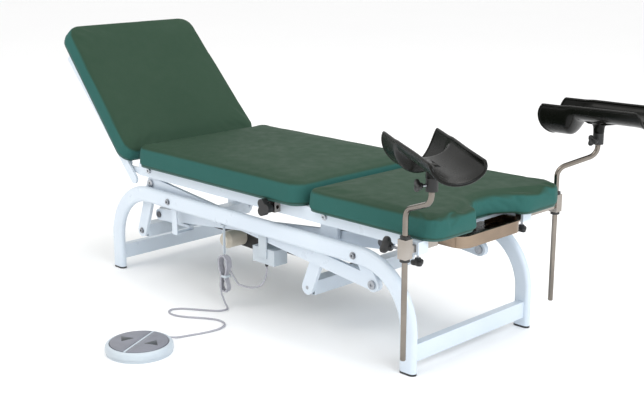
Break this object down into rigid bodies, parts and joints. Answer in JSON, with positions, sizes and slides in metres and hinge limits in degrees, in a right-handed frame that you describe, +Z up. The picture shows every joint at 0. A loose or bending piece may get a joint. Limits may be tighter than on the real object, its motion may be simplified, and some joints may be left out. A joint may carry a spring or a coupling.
{
  "type": "medical exam table",
  "caption": "Height-adjustable examination couch with scissor lift, tilting backrest, notched foot pad, leg troughs on rods, drain tray and foot switch.",
  "frame": {"origin": "on the floor, at the centre of the whole outline in plan at rest", "axes": "+X to the foot end, +Y away from the attended side, +Z up"},
  "size_m": [2.033, 1.3255, 0.8603],
  "materials": {
    "white_paint": "satin powder coat",
    "stainless": "polished stainless",
    "zinc_bolts": "bright zinc",
    "black_plastic": "satin black",
    "gloss_black": "glossy black",
    "green_vinyl": "green vinyl with fine grain",
    "board": "birch plywood",
    "pale_plastic": "pale grey plastic",
    "cord_grey": "light grey sheath",
    "nylon_rollers": "grey nylon",
    "cream_enamel": "cream enamel",
    "grey_pedal": "mid grey plastic"
  },
  "bodies": {
    "base": {"near_side_arch": "white_paint", "far_side_arch": "white_paint", "cross_tubes": "white_paint", "leg_end_caps": "black_plastic", "lower_pivot_brackets": "white_paint", "lower_roller_channels": "white_paint", "base_bolts": "zinc_bolts", "control_box": "pale_plastic", "cord_hook": "pale_plastic", "cord_gland": "black_plastic", "foot_switch_base": "pale_plastic", "foot_switch_shell": "pale_plastic", "switch_cord_upper": "cord_grey", "switch_cord_lower": "cord_grey", "cord_hank": "cord_grey"},
    "outer_arms": {"near_outer_arm": "white_paint", "far_outer_arm": "white_paint", "head_torsion_tube": "white_paint", "outer_arm_pins": "zinc_bolts"},
    "inner_arms": {"inner_scissor_frame": "white_paint"},
    "lower_rollers": {"lower_roller_set": "nylon_rollers"},
    "upper_rollers": {"upper_roller_set": "nylon_rollers"},
    "upper_frame": {"upper_frame": "white_paint", "upper_roller_channels": "white_paint", "foot_hanger": "white_paint", "frame_bolts": "zinc_bolts", "backrest_hinge_plates": "white_paint", "seat_board": "board", "foot_board": "board", "seat_pad": "green_vinyl", "foot_pad": "green_vinyl", "tray_runners": "white_paint", "holder_sockets": "white_paint", "accessory_clamp": "stainless"},
    "accessory_knob": {"accessory_knob": "black_plastic"},
    "backrest": {"backrest_frame": "white_paint", "backrest_board": "board", "backrest_pad": "green_vinyl"},
    "actuator": {"actuator_gearbox": "black_plastic", "actuator_motor": "cream_enamel"},
    "actuator_rod": {"actuator_rod": "stainless"},
    "tray": {"drain_tray": "stainless"},
    "raise_button": {"raise_button": "grey_pedal"},
    "lower_button": {"lower_button": "grey_pedal"},
    "near_arm": {"near_holder_arm": "stainless"},
    "near_bush": {"near_bush": "black_plastic"},
    "near_rod": {"near_rod": "stainless"},
    "near_clamp": {"near_trough_clamp": "black_plastic"},
    "near_trough": {"near_trough": "gloss_black"},
    "near_socket_knob": {"near_socket_knob": "black_plastic"},
    "near_block_knob": {"near_block_knob": "black_plastic"},
    "near_trough_knob": {"near_trough_knob": "black_plastic"},
    "far_arm": {"far_holder_arm": "stainless"},
    "far_bush": {"far_bush": "black_plastic"},
    "far_rod": {"far_rod": "stainless"},
    "far_clamp": {"far_trough_clamp": "black_plastic"},
    "far_trough": {"far_trough": "gloss_black"},
    "far_socket_knob": {"far_socket_knob": "black_plastic"},
    "far_block_knob": {"far_block_knob": "black_plastic"},
    "far_trough_knob": {"far_trough_knob": "black_plastic"}
  },
  "joints": [
    {"name": "lift", "type": "hinge", "parent": "base", "child": "outer_arms", "pos_m": [0.513, 0.1373, 0.221], "axis": [0, 1, 0], "range_deg": [0, 22]},
    {"name": "scissor_cross", "type": "hinge", "parent": "outer_arms", "child": "inner_arms", "pos_m": [-0.011, 0.1373, 0.2795], "axis": [0, 1, 0], "range_deg": [-44.5, 0]},
    {"name": "frame_level", "type": "hinge", "parent": "outer_arms", "child": "upper_frame", "pos_m": [-0.535, 0.1373, 0.338], "axis": [0, 1, 0], "range_deg": [-22.5, 0]},
    {"name": "actuator_pivot", "type": "hinge", "parent": "outer_arms", "child": "actuator", "pos_m": [-0.553, 0.1373, 0.156], "axis": [0, 1, 0], "range_deg": [-21.5, 0]},
    {"name": "actuator_extend", "type": "slide", "parent": "actuator", "child": "actuator_rod", "axis": [0.9997, 0, -0.0232], "range_m": [0, 0.07]},
    {"name": "lower_roller_spin", "type": "hinge", "parent": "inner_arms", "child": "lower_rollers", "pos_m": [-0.535, 0.1373, 0.221], "axis": [0, 1, 0], "continuous": true},
    {"name": "upper_roller_spin", "type": "hinge", "parent": "inner_arms", "child": "upper_rollers", "pos_m": [0.513, 0.1373, 0.338], "axis": [0, 1, 0], "continuous": true},
    {"name": "back_tilt", "type": "hinge", "parent": "upper_frame", "child": "backrest", "pos_m": [-0.655, 0.1373, 0.395], "axis": [0, 1, 0], "range_deg": [-47, 20]},
    {"name": "tray_slide", "type": "slide", "parent": "upper_frame", "child": "tray", "axis": [1, 0, 0], "range_m": [0, 0.11]},
    {"name": "accessory_knob_turn", "type": "hinge", "parent": "upper_frame", "child": "accessory_knob", "pos_m": [0.115, -0.1627, 0.382], "axis": [0, -1, 0], "continuous": true},
    {"name": "near_arm_slide", "type": "slide", "parent": "upper_frame", "child": "near_arm", "axis": [0, -1, 0], "range_m": [0, 0.015]},
    {"name": "near_socket_knob_turn", "type": "hinge", "parent": "upper_frame", "child": "near_socket_knob", "pos_m": [0.711, -0.1557, 0.345], "axis": [0, 0, -1], "continuous": true},
    {"name": "near_block_knob_turn", "type": "hinge", "parent": "near_arm", "child": "near_block_knob", "pos_m": [0.655, -0.2087, 0.385], "axis": [-1, 0, 0], "continuous": true},
    {"name": "near_swing", "type": "hinge", "parent": "near_arm", "child": "near_bush", "pos_m": [0.711, -0.2087, 0.385], "axis": [0, 0, 1], "range_deg": [-100, 100]},
    {"name": "near_rise", "type": "slide", "parent": "near_bush", "child": "near_rod", "axis": [0, 0, 1], "range_m": [0, 0.25]},
    {"name": "near_trough_turn", "type": "hinge", "parent": "near_rod", "child": "near_clamp", "pos_m": [0.82414, -0.24221, 0.59], "axis": [0, 0, 1], "range_deg": [-60, 60]},
    {"name": "near_trough_tilt", "type": "hinge", "parent": "near_clamp", "child": "near_trough", "pos_m": [0.82414, -0.24221, 0.612], "axis": [0.454, 0.891, 0], "range_deg": [-20, 20]},
    {"name": "near_trough_knob_turn", "type": "hinge", "parent": "near_clamp", "child": "near_trough_knob", "pos_m": [0.82414, -0.24221, 0.586], "axis": [-0.454, -0.891, 0], "continuous": true},
    {"name": "far_arm_slide", "type": "slide", "parent": "upper_frame", "child": "far_arm", "axis": [0, 1, 0], "range_m": [0, 0.015]},
    {"name": "far_socket_knob_turn", "type": "hinge", "parent": "upper_frame", "child": "far_socket_knob", "pos_m": [0.711, 0.3123, 0.345], "axis": [0, 0, -1], "continuous": true},
    {"name": "far_block_knob_turn", "type": "hinge", "parent": "far_arm", "child": "far_block_knob", "pos_m": [0.655, 0.4833, 0.385], "axis": [-1, 0, 0], "continuous": true},
    {"name": "far_swing", "type": "hinge", "parent": "far_arm", "child": "far_bush", "pos_m": [0.711, 0.4833, 0.385], "axis": [0, 0, 1], "range_deg": [-100, 100]},
    {"name": "far_rise", "type": "slide", "parent": "far_bush", "child": "far_rod", "axis": [0, 0, 1], "range_m": [0, 0.25]},
    {"name": "far_trough_turn", "type": "hinge", "parent": "far_rod", "child": "far_clamp", "pos_m": [0.79371, 0.56746, 0.59], "axis": [0, 0, 1], "range_deg": [-60, 60]},
    {"name": "far_trough_tilt", "type": "hinge", "parent": "far_clamp", "child": "far_trough", "pos_m": [0.79371, 0.56746, 0.612], "axis": [-0.1045, 0.9945, 0], "range_deg": [-20, 20]},
    {"name": "far_trough_knob_turn", "type": "hinge", "parent": "far_clamp", "child": "far_trough_knob", "pos_m": [0.79371, 0.56746, 0.586], "axis": [0.1045, -0.9945, 0], "continuous": true},
    {"name": "raise_press", "type": "slide", "parent": "base", "child": "raise_button", "axis": [0, 0, -1], "range_m": [0, 0.003], "stiffness_N_per_m": 3000, "springref_m": -0.001},
    {"name": "lower_press", "type": "slide", "parent": "base", "child": "lower_button", "axis": [0, 0, -1], "range_m": [0, 0.003], "stiffness_N_per_m": 3000, "springref_m": -0.001}
  ],
  "couplings": [
    {"joint": "scissor_cross", "follows": "lift", "ratio": -2},
    {"joint": "frame_level", "follows": "lift", "ratio": -1},
    {"joint": "actuator_pivot", "follows": "lift", "ratio": -0.946},
    {"joint": "actuator_extend", "follows": "lift", "m_per_rad": 0.1776}
  ]
}
